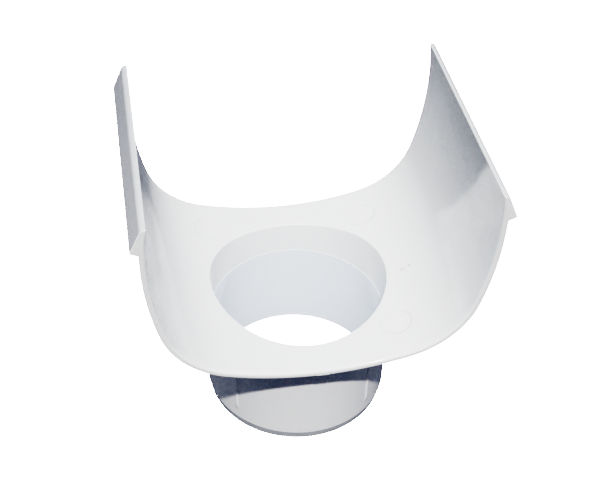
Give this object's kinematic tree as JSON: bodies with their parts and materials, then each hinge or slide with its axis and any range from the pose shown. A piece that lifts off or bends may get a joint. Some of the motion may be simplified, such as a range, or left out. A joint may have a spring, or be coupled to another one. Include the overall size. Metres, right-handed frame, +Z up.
{
  "type": "gutter running outlet",
  "caption": "U-shaped gutter outlet saddle with outward snap lips along its top edges and a ribbed round downpipe spigot below, in white PVC.",
  "frame": {"origin": "centre of the spigot's lower end, which is also the bottom centre of the bounding box", "axes": "+Z up along the spigot's axis, Y along the gutter, X across the gutter from lip to lip; -Y is the end that carries the trimmed gate mark"},
  "size_m": [0.141, 0.105, 0.1384],
  "materials": {
    "saddle_pvc": "white injection-moulded PVC, satin with a faint handling haze",
    "spigot_pvc": "white injection-moulded PVC, satin"
  },
  "bodies": {
    "root": {"saddle": "saddle_pvc", "spigot": "spigot_pvc"}
  },
  "joints": []
}
